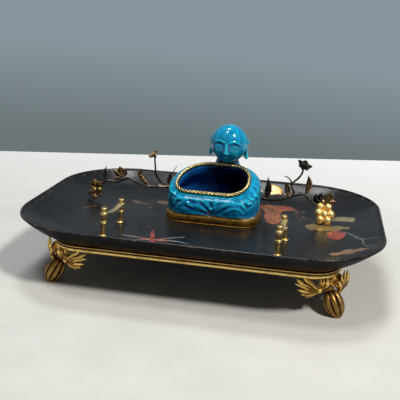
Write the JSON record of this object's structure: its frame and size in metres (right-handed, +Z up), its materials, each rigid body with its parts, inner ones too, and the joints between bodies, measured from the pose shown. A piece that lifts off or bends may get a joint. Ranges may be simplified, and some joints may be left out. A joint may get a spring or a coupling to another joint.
{
  "type": "lacquer inkwell",
  "caption": "Black lacquer tray inkstand on a gilt frame and pod feet, with a turquoise glazed figure as lift-out ink well, pen rests and flowering branches.",
  "frame": {"origin": "on the table, under the middle of the tray", "axes": "+X right along the tray, +Y to the back, +Z up"},
  "size_m": [0.31, 0.21, 0.1277],
  "materials": {
    "black_lacquer": "black polished lacquer on wood, with worn gold and red leaf and dragonfly ornament",
    "gilt": "gilt brass, bright on the edges and brown in the recesses",
    "old_gilt": "old worn gilding, brown with bright edges",
    "bronze": "dark brown patinated bronze with traces of gilding",
    "turquoise_glaze": "glossy turquoise glaze, dark where it pools, thin and pale on edges",
    "steel": "dull old steel"
  },
  "bodies": {
    "stand": {"rest_post_front_left": "gilt", "rest_nut_front_left": "steel", "rest_post_rear_left": "gilt", "rest_nut_rear_left": "steel", "rest_saddle_left": "gilt", "rest_post_front_right": "gilt", "rest_nut_front_right": "steel", "rest_post_rear_right": "gilt", "rest_nut_rear_right": "steel", "rest_saddle_right": "gilt", "collar_screw_left": "steel", "collar_screw_right": "steel", "well_collar": "old_gilt", "branch_screw_left": "steel", "branch_screw_right": "steel", "branch_bracket": "bronze", "branch_left": "bronze", "flower_left": "old_gilt", "branch_right": "bronze", "flower_right": "bronze", "leaf_left_shoulder": "bronze", "leaf_left_tendril": "bronze", "leaf_left_gold": "bronze", "leaf_left_end": "bronze", "leaf_right_shoulder": "bronze", "leaf_right_brown": "bronze", "leaf_right_serrated": "bronze", "leaf_cluster_left": "old_gilt", "leaf_bud_right": "old_gilt", "berries_right": "gilt", "foot_bracket_front_left": "gilt", "foot_pod_front_left": "old_gilt", "foot_leaf_long_front_left": "gilt", "foot_leaf_short_front_left": "gilt", "foot_screw_front_left": "steel", "foot_bracket_front_right": "gilt", "foot_pod_front_right": "old_gilt", "foot_leaf_long_front_right": "gilt", "foot_leaf_short_front_right": "gilt", "foot_screw_front_right": "steel", "foot_bracket_back_left": "gilt", "foot_pod_back_left": "old_gilt", "foot_leaf_long_back_left": "gilt", "foot_leaf_short_back_left": "gilt", "foot_screw_back_left": "steel", "foot_bracket_back_right": "gilt", "foot_pod_back_right": "old_gilt", "foot_leaf_long_back_right": "gilt", "foot_leaf_short_back_right": "gilt", "foot_screw_back_right": "steel", "bead_strip_front": "gilt", "bead_strip_back": "gilt", "bead_strip_left": "gilt", "bead_strip_right": "gilt", "frame_screw_left": "steel", "frame_screw_right": "steel", "frame_rail": "gilt", "lacquer_tray": "black_lacquer"},
    "well": {"ink_well_figure": "turquoise_glaze", "well_rim_mount": "gilt"}
  },
  "joints": [
    {"name": "well_lift", "type": "slide", "parent": "stand", "child": "well", "axis": [0, 0, 1], "range_m": [0, 0.075]}
  ]
}
